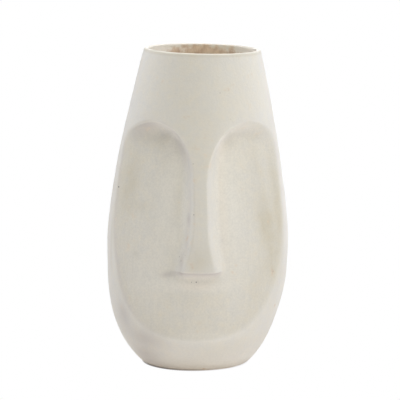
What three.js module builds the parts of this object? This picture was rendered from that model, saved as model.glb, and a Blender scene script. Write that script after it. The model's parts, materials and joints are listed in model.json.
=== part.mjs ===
// Papier-mache planter with a plain carved face: a tall egg-shaped pot, moulded in two halves that are
// pasted together, with a rolled paper lip, a pressed board floor and a watertight cup that lifts out.
// Millimetres and degrees. +Z is up, the face looks along -Y, and z = 0 is the ground under the foot.

import * as THREE from "three";

// Body outline, foot to mouth
const HEIGHT = 350;
const MOUTH_RADIUS = 64.5;
const MOUTH_SLOPE = 14.4;
const MOUTH_REACH = 177;
const BELLY_RADIUS = 100.4;
const BELLY_HEIGHT = 108;
const BELLY_REACH_UP = 27;
const BELLY_REACH_DOWN = 39;
const FOOT_RADIUS = 58.5;
const HEEL_SLOPE = 43;
const HEEL_REACH = 38.5;
const HEEL_ROUND = 4;

// Hand-made lean: the middle of the pot drifts towards +X on its way up. On that side the lip drops, and the
// lower flank and the shoulder are pressed in a little. The nose leans the same way
const AXIS_DRIFT = 8.3;
const LIP_TILT = 1.2;
const FLANK_PRESS = 4.5;
const FLANK_HEIGHT = 45;
const FLANK_SPAN = 44;
const SHOULDER_PRESS = 4;
const SHOULDER_HEIGHT = 250;
const SHOULDER_SPAN = 105;

// Wall, and the paste line that lies between two glued pieces
const WALL = 5;
const PASTE = 0.3;
const FOOT_FLANGE = 16;
const CORD_HEIGHT = 4.5;

// Face: a wide arc planed off the front, chin to brow, which leaves the forehead and the nose standing
const CHIN_HEIGHT = 39;
const CHIN_STEP = 6;
const CHIN_EASE = 12;
const FACE_LEAN = 6.1;
const FACE_CURVE = 118;
const EYE_HEIGHT = 213;
const EYE_SPACING = 104;
const BROW_RISE = 62.8;
const BROW_OUTER = 43;
const BRIDGE_WIDTH = 17.4;
const NOSE_WIDTH = 38.4;
const NOSE_HEIGHT = 115;
const NOSE_FLARE = 60;
const NOSE_UNDERSIDE = 5.5;
const NOSE_LEAN = 2.6;
const NOSE_LEAN_HEIGHT = 142;
const NOSE_LEAN_SPAN = 58;
const NOSE_LEAN_WIDTH = 40;
const HOLLOW_ROUND = 20;
const HOLLOW_POWER = 2.5;
const LIP_DIMPLE = 2.5;
const LIP_DIMPLE_RUN = 12;

// Floor and pasted paper strips
const BOARD_THICKNESS = 4;
const STRIP_THICKNESS = 1.2;
const SEAM_STRIP_WIDTH = 20;
const BASE_STRIP_WIDTH = 8;

// Lift-out cup
const CUP_WALL = 2;
const CUP_DROP = 20;
const CUP_CLEARANCE = 3;
const CUP_SEAT = 0.3;
const CUP_TAPER = 1.5;
const CUP_LIP_HEIGHT = 3;
const CUP_FOOT_ROUND = 3;

// Fineness of the faceted surfaces: counts of facets, and how much they crowd towards a sharp edge
const RING_SIDES = 48;
const CORD_ARC_STEPS = 6;
const FRONT_COLUMNS = { nose: 2, noseSide: 5, cheek: 8, flank: 3 };
const FRONT_ROWS = { heel: 6, chin: 9, underside: 2, hollow: 22, forehead: 7 };
const PLAIN_ROWS = { lower: 12, upper: 14 };
const INSIDE_ROWS = { base: 3, lower: 9, upper: 14 };
const CROWDING = 1.5;
const CREASE_LEAST = 50;
const CREASE_MOST = 80;
const SLOPE_STEP = 0.5;
const CLOSENESS = 1e-7;

const radians = THREE.MathUtils.degToRad;
const clamp = THREE.MathUtils.clamp;

// Values spread evenly from one number up to, but not including, the next.
function span(from, to, steps) {
  return Array.from({ length: steps }, (_, step) => from + ((to - from) * step) / steps);
}

// Lowest value between two limits from which on a test holds, found by halving.
function firstWhere(low, high, holds) {
  let below = low;
  let above = high;
  while (above - below > CLOSENESS) {
    const middle = (below + above) / 2;
    if (holds(middle)) {
      above = middle;
    } else {
      below = middle;
    }
  }
  return above;
}

// Half outline of the body as three joined curves of (radius, height): rounded heel, lower and upper wall.
const heelStart = FOOT_RADIUS - HEEL_ROUND;
const heelTurn = new THREE.Vector2(Math.cos(radians(HEEL_SLOPE)), Math.sin(radians(HEEL_SLOPE)));
const mouthTurn = new THREE.Vector2(Math.sin(radians(MOUTH_SLOPE)), -Math.cos(radians(MOUTH_SLOPE)));
const heelCurve = new THREE.QuadraticBezierCurve(
  new THREE.Vector2(heelStart, 0),
  new THREE.Vector2(FOOT_RADIUS, 0),
  new THREE.Vector2(FOOT_RADIUS, 0).addScaledVector(heelTurn, HEEL_ROUND),
);
const lowerCurve = new THREE.CubicBezierCurve(
  heelCurve.v2,
  heelCurve.v2.clone().addScaledVector(heelTurn, HEEL_REACH),
  new THREE.Vector2(BELLY_RADIUS, BELLY_HEIGHT - BELLY_REACH_DOWN),
  new THREE.Vector2(BELLY_RADIUS, BELLY_HEIGHT),
);
const upperCurve = new THREE.CubicBezierCurve(
  lowerCurve.v3,
  new THREE.Vector2(BELLY_RADIUS, BELLY_HEIGHT + BELLY_REACH_UP),
  new THREE.Vector2(MOUTH_RADIUS, HEIGHT).addScaledVector(mouthTurn, MOUTH_REACH),
  new THREE.Vector2(MOUTH_RADIUS, HEIGHT),
);
const heelTop = heelCurve.v2.y;

// Outside radius of the plain body at a height. Every curve of the outline climbs steadily.
function bodyRadius(height) {
  const z = clamp(height, 0, HEIGHT);
  const curve = [heelCurve, lowerCurve, upperCurve].find((part) => z <= part.getPoint(1).y);
  return curve.getPoint(firstWhere(0, 1, (step) => curve.getPoint(step).y >= z)).x;
}

// Inside radius of the plain wall at a height, so that the wall is as thick as WALL square to its surface.
function insideRadius(height) {
  const below = Math.max(height - SLOPE_STEP, 0);
  const above = Math.min(height + SLOPE_STEP, HEIGHT);
  const slope = (bodyRadius(above) - bodyRadius(below)) / (above - below);
  return bodyRadius(height) - WALL * Math.hypot(1, slope);
}

// Sideways place of the pot's middle at a height.
function axisOffset(height) {
  return (AXIS_DRIFT * (height - BELLY_HEIGHT)) / HEIGHT;
}

// How much of a press or lean is felt at a place: all of it at its middle, fading out over its reach.
function felt(place, middle, reach) {
  return Math.exp(-(((place - middle) / reach) ** 2));
}

// A point of the leaning pot, from its direction (0 is the face's middle, 90 is +X), radius and height.
function potPoint(angle, radius, height) {
  const x = radius * Math.sin(angle);
  const drop = Math.tan(radians(LIP_TILT)) * x * (height / HEIGHT) ** 2;
  const flank = FLANK_PRESS * felt(height, FLANK_HEIGHT, FLANK_SPAN);
  const shoulder = SHOULDER_PRESS * felt(height, SHOULDER_HEIGHT, SHOULDER_SPAN);
  const press = (flank + shoulder) * Math.max(x / BELLY_RADIUS, 0) ** 2;
  const nearNose = felt(height, NOSE_LEAN_HEIGHT, NOSE_LEAN_SPAN) * felt(x, 0, NOSE_LEAN_WIDTH);
  const lean = Math.cos(angle) > 0 ? NOSE_LEAN * nearNose : 0;
  return [x + axisOffset(height) - press + lean, -radius * Math.cos(angle), height - drop];
}

// Derived places on the pot
const eyeX = EYE_SPACING / 2;
const eyeHalfWidth = eyeX - BRIDGE_WIDTH / 2;
const browTop = EYE_HEIGHT + BROW_RISE;
const noseFoot = NOSE_HEIGHT - NOSE_UNDERSIDE;
const shellTop = HEIGHT - CORD_HEIGHT;
const flangeRadius = heelStart - FOOT_FLANGE;
const boardBottom = WALL + PASTE;
const boardTop = boardBottom + BOARD_THICKNESS;
const baseStripBottom = boardTop + PASTE;
const baseStripTop = baseStripBottom + BASE_STRIP_WIDTH;

// Depth of the face behind the plain body on its middle line.
function faceDepth(height) {
  const rise = height - CHIN_HEIGHT;
  return CHIN_STEP * (1 - Math.exp(-rise / CHIN_EASE)) + Math.tan(radians(FACE_LEAN)) * rise;
}

// Forward place of the centre of the arc that the face is planed to; it lies behind the pot's axis.
function faceCentre(height) {
  return bodyRadius(height) - faceDepth(height) - FACE_CURVE;
}

// How far the planed face lies inside the plain body in one direction.
function faceDip(angle, height) {
  if (height <= CHIN_HEIGHT || Math.abs(angle) >= Math.PI / 2) {
    return 0;
  }
  const centre = faceCentre(height);
  const across = centre * Math.sin(angle);
  const planed = centre * Math.cos(angle) + Math.sqrt(FACE_CURVE ** 2 - across ** 2);
  return Math.max(bodyRadius(height) - planed, 0);
}

// Direction of the crease where the planed face meets the plain body.
function creaseAngle(height) {
  if (height <= CHIN_HEIGHT) {
    return 0;
  }
  const radius = bodyRadius(height);
  const centre = faceCentre(height);
  const cosine = (radius ** 2 + centre ** 2 - FACE_CURVE ** 2) / (2 * radius * centre);
  return Math.acos(clamp(cosine, -1, 1));
}

// Half width of the nose, which flares towards its tip.
function noseHalf(height) {
  const flare = clamp((NOSE_HEIGHT + NOSE_FLARE - height) / NOSE_FLARE, 0, 1);
  return BRIDGE_WIDTH / 2 + ((NOSE_WIDTH - BRIDGE_WIDTH) / 2) * flare ** 2;
}

// Height of the arched brow over a point to the side of the middle.
function browHeight(x) {
  const side = Math.abs(x);
  const across = (side - eyeX) / (side < eyeX ? eyeHalfWidth : BROW_OUTER);
  return EYE_HEIGHT + BROW_RISE * Math.sqrt(Math.max(1 - across ** 2, 0));
}

// Distance into a hollow from the side of the nose, or from the arched brow above the eye.
function hollowReach(x, height) {
  const side = Math.abs(x);
  if (height <= EYE_HEIGHT) {
    return side - noseHalf(height);
  }
  if (side >= eyeX) {
    return browHeight(x) - height;
  }
  const across = (side - eyeX) / eyeHalfWidth;
  const up = (height - EYE_HEIGHT) / BROW_RISE;
  const place = Math.hypot(across, up);
  return ((1 - place) * place) / Math.hypot(across / eyeHalfWidth, up / BROW_RISE);
}

// Rounded descent from a rim into a hollow: 0 at the rim, 1 on the floor, steepest at the rim.
function descent(reach) {
  return 1 - (1 - clamp(reach / HOLLOW_ROUND, 0, 1)) ** HOLLOW_POWER;
}

// Dimple under the nose, where the floor of the face is scooped a little deeper and eases out downwards.
function lipDimple(x, height) {
  const fadeDown = clamp(1 - (noseFoot - height) / LIP_DIMPLE_RUN, 0, 1) ** 2;
  const fadeSide = 1 - descent(Math.abs(x) - NOSE_WIDTH / 2);
  return height < noseFoot ? LIP_DIMPLE * fadeDown * fadeSide : 0;
}

// Outside radius of the front: the forehead and nose keep the plain body, the hollows sink to the face.
function frontRadius(angle, height) {
  const plain = bodyRadius(height);
  const x = plain * Math.sin(angle);
  const underNose = clamp((NOSE_HEIGHT - height) / NOSE_UNDERSIDE, 0, 1);
  const share = Math.max(descent(hollowReach(x, height)), underNose);
  const dimple = faceDip(angle, height) > 0 ? lipDimple(x, height) : 0;
  return plain - faceDip(angle, height) * share - dimple;
}

// Inside radius of the front: it follows the hollows one wall behind them and passes behind the nose.
function frontInsideRadius(angle, height) {
  return insideRadius(height) - faceDip(angle, height) * descent(browTop + WALL - height);
}

// Directions of the front's columns at a height, from seam to seam. They follow the edge of the nose, the
// foot of its rounded side and the crease at the rim of the face.
function frontColumns(height, radius = bodyRadius(height)) {
  const faceRadius = bodyRadius(clamp(height, CHIN_HEIGHT, browTop));
  const edgeX = noseHalf(Math.max(height, NOSE_HEIGHT));
  const edge = Math.asin(edgeX / faceRadius);
  const foot = Math.asin((edgeX + HOLLOW_ROUND) / faceRadius);
  const crease = clamp(creaseAngle(height), radians(CREASE_LEAST), radians(CREASE_MOST));
  const seam = Math.acos(PASTE / 2 / radius);
  const half = [
    ...span(0, edge, FRONT_COLUMNS.nose),
    ...span(0, 1, FRONT_COLUMNS.noseSide).map((step) => edge + (foot - edge) * step ** CROWDING),
    ...span(foot, crease, FRONT_COLUMNS.cheek),
    ...span(crease, seam, FRONT_COLUMNS.flank),
    seam,
  ];
  const mirrored = half.slice(1).reverse();
  return [...mirrored.map((angle) => -angle), ...half];
}

// Heights down one column of the front. Its rows follow the chin's crease, the nose's underside and the brow.
function frontHeights(column) {
  const angleAt = (height) => Math.abs(frontColumns(height)[column]);
  const chin = firstWhere(CHIN_HEIGHT, noseFoot, (height) => {
    return creaseAngle(height) >= Math.min(angleAt(height), radians(CREASE_LEAST));
  });
  const brow = firstWhere(EYE_HEIGHT, browTop, (height) => {
    return height >= browHeight(bodyRadius(height) * Math.sin(angleAt(height)));
  });
  const hollow = span(0, 1, FRONT_ROWS.hollow).map((step) => 1 - (1 - step) ** CROWDING);
  return [
    ...span(heelTop, chin, FRONT_ROWS.heel),
    ...span(chin, noseFoot, FRONT_ROWS.chin),
    ...span(noseFoot, NOSE_HEIGHT, FRONT_ROWS.underside),
    ...hollow.map((share) => NOSE_HEIGHT + (brow - NOSE_HEIGHT) * share),
    ...span(brow, shellTop, FRONT_ROWS.forehead),
    shellTop,
  ];
}

// Directions of plain columns over one half of the pot, which faces the given way.
function plainColumns(radius, facing) {
  const seam = Math.acos(PASTE / 2 / radius);
  const even = span(-Math.PI / 2, Math.PI / 2, RING_SIDES / 2).slice(1);
  return [-seam, ...even, seam].map((angle) => facing + angle);
}

// Rows of (radius, height) under the foot and round the heel, up to the start of the wall
const footRows = [
  [flangeRadius, 0],
  [heelStart, 0],
  ...[1 / 3, 2 / 3].map((step) => heelCurve.getPoint(step).toArray()),
];
const plainHeights = [
  ...span(heelTop, BELLY_HEIGHT, PLAIN_ROWS.lower),
  ...span(BELLY_HEIGHT, shellTop, PLAIN_ROWS.upper),
  shellTop,
];
const insideHeights = [
  ...span(WALL, baseStripTop, INSIDE_ROWS.base),
  ...span(baseStripTop, BELLY_HEIGHT, INSIDE_ROWS.lower),
  ...span(BELLY_HEIGHT, shellTop, INSIDE_ROWS.upper),
  shellTop,
];

// A closed solid between an outer and an inner grid of points. A grid is a list of rows, bottom row first,
// and each row runs towards +X on the face's side. The two grids may differ in rows and in columns.
function skinSolid(outer, inner) {
  const points = [...outer.flat(), ...inner.flat()];
  const outerCount = outer.length * outer[0].length;
  const outerIndex = (row, column) => row * outer[0].length + column;
  const innerIndex = (row, column) => outerCount + row * inner[0].length + column;
  const triangles = [];
  const cover = (grid, index, inward) => {
    for (let row = 0; row + 1 < grid.length; row += 1) {
      for (let column = 0; column + 1 < grid[0].length; column += 1) {
        const low = [index(row, column), index(row, column + 1)];
        const high = [index(row + 1, column), index(row + 1, column + 1)];
        const [[a, b], [d, c]] = inward ? [high, low] : [low, high];
        triangles.push(a, b, c, a, c, d);
      }
    }
  };
  cover(outer, outerIndex, false);
  cover(inner, innerIndex, true);
  const border = (grid, index) => {
    const rows = [...grid.keys()];
    const columns = [...grid[0].keys()];
    const lastRow = grid.length - 1;
    const lastColumn = grid[0].length - 1;
    return [
      columns.map((column) => index(0, column)),
      rows.map((row) => index(row, lastColumn)),
      columns.map((column) => index(lastRow, column)).reverse(),
      rows.map((row) => index(row, 0)).reverse(),
    ];
  };
  const innerBorder = border(inner, innerIndex);
  border(outer, outerIndex).forEach((line, side) => {
    triangles.push(...stitch(points, line, innerBorder[side]));
  });
  return solidGeometry(points, triangles);
}

// Triangles that join two border lines that run side by side, always across the shorter way.
function stitch(points, outerLine, innerLine) {
  const place = (index) => new THREE.Vector3(...points[index]);
  const triangles = [];
  let outer = 0;
  let inner = 0;
  while (outer + 1 < outerLine.length || inner + 1 < innerLine.length) {
    const outerLeft = outer + 1 < outerLine.length;
    const innerLeft = inner + 1 < innerLine.length;
    const outerWay = outerLeft ? place(outerLine[outer + 1]).distanceTo(place(innerLine[inner])) : Infinity;
    const innerWay = innerLeft ? place(outerLine[outer]).distanceTo(place(innerLine[inner + 1])) : Infinity;
    if (outerWay <= innerWay) {
      triangles.push(outerLine[outer + 1], outerLine[outer], innerLine[inner]);
      outer += 1;
    } else {
      triangles.push(innerLine[inner], innerLine[inner + 1], outerLine[outer]);
      inner += 1;
    }
  }
  return triangles;
}

function solidGeometry(points, triangles) {
  const geometry = new THREE.BufferGeometry();
  geometry.setAttribute("position", new THREE.Float32BufferAttribute(points.flat(), 3));
  geometry.setIndex(triangles);
  geometry.computeVertexNormals();
  return geometry;
}

// A ring or disc turned round the pot's middle from a profile of [radius, height], leaning with the pot.
function turnedSolid(profile) {
  const outline = profile.map(([radius, height]) => new THREE.Vector2(radius, height));
  const geometry = new THREE.LatheGeometry(outline, RING_SIDES);
  const place = geometry.getAttribute("position");
  for (let vertex = 0; vertex < place.count; vertex += 1) {
    const angle = Math.atan2(place.getX(vertex), place.getZ(vertex));
    const radius = Math.hypot(place.getX(vertex), place.getZ(vertex));
    place.setXYZ(vertex, ...potPoint(angle, radius, place.getY(vertex)));
  }
  geometry.computeVertexNormals();
  return geometry;
}

// The two moulded halves
function frontShell() {
  const foot = footRows.map(([radius, height]) =>
    frontColumns(height, radius).map((angle) => potPoint(angle, radius, height)),
  );
  const columns = frontColumns(0).map((_, column) =>
    frontHeights(column).map((height) => {
      const angle = frontColumns(height)[column];
      return potPoint(angle, frontRadius(angle, height), height);
    }),
  );
  const face = columns[0].map((_, row) => columns.map((column) => column[row]));
  const flange = plainColumns(flangeRadius, 0).map((angle) => potPoint(angle, flangeRadius, WALL));
  const inner = insideHeights.map((height) =>
    plainColumns(insideRadius(height), 0).map((angle) => {
      return potPoint(angle, frontInsideRadius(angle, height), height);
    }),
  );
  return skinSolid([...foot, ...face], [flange, ...inner]);
}

function rearShell() {
  const row = (radius, height) =>
    plainColumns(radius, Math.PI).map((angle) => potPoint(angle, radius, height));
  const foot = footRows.map(([radius, height]) => row(radius, height));
  const wall = plainHeights.map((height) => row(bodyRadius(height), height));
  const inner = insideHeights.map((height) => row(insideRadius(height), height));
  return skinSolid([...foot, ...wall], [row(flangeRadius, WALL), ...inner]);
}

// Rolled paper cord that caps both halves and forms the rounded lip
function rimCord() {
  const bottom = shellTop + PASTE;
  const halfWall = (bodyRadius(bottom) - insideRadius(bottom)) / 2;
  const spring = HEIGHT - Math.min(halfWall, HEIGHT - bottom);
  const arc = [...span(0, Math.PI, CORD_ARC_STEPS), Math.PI].map((turn) => {
    const height = spring + (HEIGHT - spring) * Math.sin(turn);
    const middle = (bodyRadius(height) + insideRadius(height)) / 2;
    return [middle + halfWall * Math.cos(turn), height];
  });
  const foot = [insideRadius(bottom), bottom];
  return turnedSolid([foot, [bodyRadius(bottom), bottom], ...arc, foot]);
}

// Paper strip pasted over a seam inside the pot, on the +X side or the -X side
function seamStrip(side) {
  const heights = insideHeights.filter((height) => height > baseStripTop && height < shellTop);
  const layer = (sink) =>
    heights.map((height) => {
      const radius = insideRadius(height) - sink;
      const reach = Math.asin(SEAM_STRIP_WIDTH / 2 / radius);
      return [-reach, 0, reach].map((turn) => potPoint((side * Math.PI) / 2 + turn, radius, height));
    });
  return skinSolid(layer(PASTE), layer(PASTE + STRIP_THICKNESS));
}

// Pressed board floor, cut on a slant to fit inside the wall, on the flange of both halves
function baseBoard() {
  return turnedSolid([
    [0, boardBottom],
    [insideRadius(boardBottom) - PASTE, boardBottom],
    [insideRadius(boardTop) - PASTE, boardTop],
    [0, boardTop],
  ]);
}

// Paper strip folded into the corner between the floor and the wall
function baseStrip() {
  const wallAt = (height) => insideRadius(height) - PASTE;
  const bend = baseStripBottom + STRIP_THICKNESS;
  const rise = [...span(baseStripBottom, baseStripTop, INSIDE_ROWS.base), baseStripTop];
  const innerRise = [...span(bend, baseStripTop, INSIDE_ROWS.base), baseStripTop].reverse();
  const toe = wallAt(baseStripBottom) - BASE_STRIP_WIDTH;
  const thick = STRIP_THICKNESS * Math.SQRT2;
  return turnedSolid([
    [toe, baseStripBottom],
    ...rise.map((height) => [wallAt(height), height]),
    ...innerRise.map((height) => [wallAt(height) - thick, height]),
    [toe, bend],
    [toe, baseStripBottom],
  ]);
}

// Watertight cup. It stands upright on the floor under the middle of the mouth and lifts out through it.
const cupX = axisOffset(HEIGHT);
const cupSeat = boardTop + CUP_SEAT;
const cupHeight = HEIGHT - CUP_DROP - cupSeat;
const cupLipRadius = insideRadius(HEIGHT) - CUP_CLEARANCE;
const floorRadius = insideRadius(baseStripBottom) - PASTE - BASE_STRIP_WIDTH;
const floorShift = Math.abs(cupX - axisOffset(baseStripBottom));
const faceInside = Math.min(...insideHeights.map((height) => frontInsideRadius(0, height)));

function linerCup() {
  const lipBottom = cupHeight - CUP_LIP_HEIGHT;
  const neckRadius = Math.min(faceInside, insideRadius(HEIGHT)) - CUP_CLEARANCE;
  const taperedRadius = neckRadius - Math.tan(radians(CUP_TAPER)) * lipBottom;
  const footRadius = Math.min(taperedRadius, floorRadius - floorShift - CUP_CLEARANCE);
  const profile = [
    [0, 0],
    [footRadius - CUP_FOOT_ROUND, 0],
    [footRadius, CUP_FOOT_ROUND],
    [neckRadius, lipBottom],
    [cupLipRadius, lipBottom],
    [cupLipRadius, cupHeight],
    [neckRadius - CUP_WALL, cupHeight],
    [footRadius - CUP_WALL, CUP_FOOT_ROUND + CUP_WALL],
    [footRadius - CUP_WALL - CUP_FOOT_ROUND, CUP_WALL],
    [0, CUP_WALL],
  ];
  const outline = profile.map(([radius, height]) => new THREE.Vector2(radius, height));
  return new THREE.LatheGeometry(outline, RING_SIDES).rotateX(Math.PI / 2);
}

// Finishes
function chalkCoat() {
  return new THREE.MeshStandardMaterial({ color: 0xe0dcd2, roughness: 0.92, metalness: 0 });
}

function bareMache() {
  return new THREE.MeshStandardMaterial({ color: 0xe7d3b7, roughness: 0.95, metalness: 0 });
}

function pressedBoard() {
  return new THREE.MeshStandardMaterial({ color: 0xa88f6c, roughness: 0.95, metalness: 0 });
}

function palePlastic() {
  return new THREE.MeshStandardMaterial({ color: 0xe2ded5, roughness: 0.6, metalness: 0 });
}

function piece(name, geometry, material) {
  const mesh = new THREE.Mesh(geometry, material);
  mesh.name = name;
  return mesh;
}

const shell = new THREE.Group();
shell.add(
  piece("front_shell", frontShell(), chalkCoat()),
  piece("rear_shell", rearShell(), chalkCoat()),
  piece("rim_cord", rimCord(), chalkCoat()),
  piece("seam_strip_left", seamStrip(-1), bareMache()),
  piece("seam_strip_right", seamStrip(1), bareMache()),
);

const base = new THREE.Group();
base.add(piece("base_board", baseBoard(), pressedBoard()), piece("base_strip", baseStrip(), bareMache()));

const liner = new THREE.Group();
liner.add(piece("liner_cup", linerCup(), palePlastic()));
liner.position.set(cupX, 0, cupSeat);

const planter = new THREE.Group();
planter.add(shell, base, liner);

export default planter;
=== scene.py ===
# Papier-mache face planter: the looks of its pieces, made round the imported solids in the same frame.
# The pot repeats the outline and face of the solids on a finer grid, with worn edges, hand-made unevenness
# and pinholes. Shapes are worked out in millimetres and degrees and turned into metres at the end.
import json
import math

import bpy
import numpy as np
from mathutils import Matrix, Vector, noise


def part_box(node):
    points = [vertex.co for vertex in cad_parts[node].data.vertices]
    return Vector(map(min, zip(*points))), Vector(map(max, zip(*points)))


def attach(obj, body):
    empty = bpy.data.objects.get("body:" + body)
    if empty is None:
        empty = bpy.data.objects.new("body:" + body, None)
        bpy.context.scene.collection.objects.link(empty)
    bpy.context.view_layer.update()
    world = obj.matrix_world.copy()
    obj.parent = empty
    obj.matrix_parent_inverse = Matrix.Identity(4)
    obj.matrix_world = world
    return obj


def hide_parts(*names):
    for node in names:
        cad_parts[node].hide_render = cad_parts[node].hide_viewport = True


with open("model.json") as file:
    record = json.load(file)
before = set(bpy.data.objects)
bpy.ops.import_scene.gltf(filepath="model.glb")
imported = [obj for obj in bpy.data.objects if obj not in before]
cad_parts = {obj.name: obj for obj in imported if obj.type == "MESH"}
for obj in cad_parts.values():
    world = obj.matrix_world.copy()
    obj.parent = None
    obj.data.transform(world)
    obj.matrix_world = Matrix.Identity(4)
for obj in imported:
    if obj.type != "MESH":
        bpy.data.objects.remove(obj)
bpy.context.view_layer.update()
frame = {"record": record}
METRE = 0.001

# Body outline, foot to mouth, as in the solids
HEIGHT = 350
MOUTH_RADIUS = 64.5
MOUTH_SLOPE = 14.4
MOUTH_REACH = 177
BELLY_RADIUS = 100.4
BELLY_HEIGHT = 108
BELLY_REACH_UP = 27
BELLY_REACH_DOWN = 39
FOOT_RADIUS = 58.5
HEEL_SLOPE = 43
HEEL_REACH = 38.5
HEEL_ROUND = 4
AXIS_DRIFT = 8.3
LIP_TILT = 1.2
FLANK_PRESS = 4.5
FLANK_HEIGHT = 45
FLANK_SPAN = 44
SHOULDER_PRESS = 4
SHOULDER_HEIGHT = 250
SHOULDER_SPAN = 105
WALL = 5
PASTE = 0.3
FOOT_FLANGE = 16
CORD_HEIGHT = 4.5

# Face, as in the solids
CHIN_HEIGHT = 39
CHIN_STEP = 6
CHIN_EASE = 12
FACE_LEAN = 6.1
FACE_CURVE = 118
EYE_HEIGHT = 213
EYE_SPACING = 104
BROW_RISE = 62.8
BROW_OUTER = 43
BRIDGE_WIDTH = 17.4
NOSE_WIDTH = 38.4
NOSE_HEIGHT = 115
NOSE_FLARE = 60
NOSE_LEAN = 2.6
NOSE_LEAN_HEIGHT = 142
NOSE_LEAN_SPAN = 58
NOSE_LEAN_WIDTH = 40
HOLLOW_ROUND = 20
HOLLOW_POWER = 2.5

# Floor, pasted strips and lift-out cup, as in the solids
BOARD_THICKNESS = 4
STRIP_THICKNESS = 1.2
SEAM_STRIP_WIDTH = 20
SEAM_STRIP_BOTTOM = 28
SEAM_STRIP_TOP = 328
BASE_STRIP_WIDTH = 8
CUP_WALL = 2
CUP_DROP = 20
CUP_CLEARANCE = 3
CUP_TAPER = 1.5
CUP_LIP_HEIGHT = 3
CUP_FOOT_ROUND = 3

# Wear of the edges: how far each is rounded to either side, and how square the lip's round is (1 is a circle)
CREASE_ROUND = 0.7
EDGE_ROUND = 2.5
UNDERSIDE_ROUND = 0.8
BOARD_ROUND = 0.6
CUP_EDGE_ROUND = 1.3
LIP_SQUARE = 0.75

# The nose's underside is scooped out by hand: how far above the solid's edge it starts, how far it runs down
UNDERSIDE_LIFT = 1.6
UNDERSIDE_RUN = 11
UNDERSIDE_POWER = 2

# Unevenness of hand-laid paper: lump sizes and heights outside, how much rougher the inside is, torn edges
# and frayed strips
LUMPS = ((60, 0.5), (22, 0.22), (7, 0.08))
INSIDE_ROUGHER = 2.2
INSIDE_SHIFT = 7
TEAR = 1.6
TEAR_SIZE = 9
TEAR_FRACTAL = (1.0, 2.0, 3)
STRIP_FRAY = 5
STRIP_EDGE = 0.2
STRIP_TUCK = 0.4
STRIP_END_POWER = 40

# Moulded ribs round the cup: heights above its foot, how far they stand out, how tall they are and how much
# of that is flat. The ring it stands on is as wide as the round of its foot
CUP_RIBS = (95, 190, 285)
RIB_RISE = 0.7
RIB_HEIGHT = 3
RIB_FLAT = 0.4

# Pinholes and nicks in the coat: direction, height, width and darkness
PINHOLES = (
    (-70.3, 200, 1.5, 1.0),
    (-4.4, 180, 1.1, 0.6),
    (-5.1, 234, 1.0, 0.4),
    (-5.4, 104.5, 1.0, 0.5),
    (-2.1, 104.5, 1.3, 0.7),
    (57.8, 110, 1.0, 0.4),
    (15, 309, 1.6, 0.15),
    (23, 281, 1.6, 0.12),
    (-14.7, 132, 1.3, 0.3),
    (-13.0, 128, 1.3, 0.3),
    (-10.0, 135, 1.1, 0.2),
    (-7.7, 142.5, 1.1, 0.2),
)
PINHOLE_DEPTH = 0.6
PINHOLE_CORE = 0.3
PINHOLE_RIM = 0.75

# Where the looks lie: the hollow of the face, the tan wash behind the crease, the worn chin and lip, the tan
# cord, the rubbed foot and the painted contact shadow along its edge
HOLLOW_START = 2
WASH_REACH = 9
WASH_AT_CREASE = 0.42
WORN_REACH = 0.9
WORN_SPREAD = 35
LIP_WORN = 0.15
LIP_WORN_REACH = 0.7
# The cord's tan wash rises to the lip's top, where it is partly real wash and partly painted shade against
# the light from above
CORD_TAN_AND_SHADE = 1.0
FOOT_BARE_HEIGHT = 1.1
FOOT_BARE_FULL = 1.5
# Painted contact shadow along the foot's edge: how high it reaches, where it is full, how much lies in the
# middle and to the left
FOOT_SHADOW_HEIGHT = 2.3
FOOT_SHADOW_FULL = 1.2
FOOT_SHADOW_MIDDLE = 0.24
FOOT_SHADOW_LEFT = 0.9

# Painted shade: darker coat under the left brow, in a line inside the left crease and under the nose, where
# shade falls
BROW_SHADE_DIRECTION = -51
BROW_SHADE_WIDTH = 18
BROW_SHADE_START = 1.5
BROW_SHADE_REACH = 9
BROW_SHADE = 0.62
CREASE_SHADE = 0.2
CREASE_SHADE_REACH = 0.8
CREASE_SHADE_SIDE = (0.4, 0.9)
UNDERSIDE_SHADE = 0.95
UNDERSIDE_FADE = 1.5

# Soft patches of the coat: tan wash, painted light, painted highlights and painted shade, each as direction,
# height, half width, half height and strength
TAN_PATCHES = (
    (53.5, 171, 13, 26, 0.9),
    (67, 188, 8, 52, 0.75),
    (53, 228, 10, 26, 0.3),
    (58, 130, 17, 32, 0.65),
    (44, 92, 16, 26, 0.3),
    (-60, 207, 12, 36, 0.65),
    (-48, 182, 9, 7, 0.3),
    (-46.8, 131.5, 4, 4, 0.3),
    (-72, 138, 4, 32, 0.45),
    (-60, 95, 14, 18, 0.15),
    (0, 128, 14, 17, 0.6),
)
# Painted light: paler patches of coat where more light falls
PAINTED_LIGHT_PATCHES = (
    (24, 180, 20, 70, 1.0),
    (38, 262, 16, 10, 0.7),
    (81, 158, 11, 38, 0.8),
    (19, 250, 10, 14, 1.0),
    (-26, 195, 14, 60, 0.9),
    (-14, 185, 5, 35, 0.6),
    (-18.5, 150, 5, 18, 0.6),
    (-19, 235, 9, 20, 0.9),
    (-29, 253, 10, 12, 1.0),
    (-38, 105, 28, 45, 0.6),
    (-3, 99.5, 42, 6.5, 1.0),
    (0, 44, 48, 6, 0.9),
    (30, 11, 70, 12, 0.8),
    (0, 5, 55, 9, 0.7),
    (-78, 24, 16, 14, 0.9),
)
# Painted highlights: cream patches under the nose, in the right brow's inner corner and down the right side
# of the nose
HIGHLIGHT_PATCHES = (
    (-1, 100, 24, 5, 0.8),
    (20, 250, 9, 13, 0.6),
    (18.5, 175, 7, 50, 0.45),
)
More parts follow.
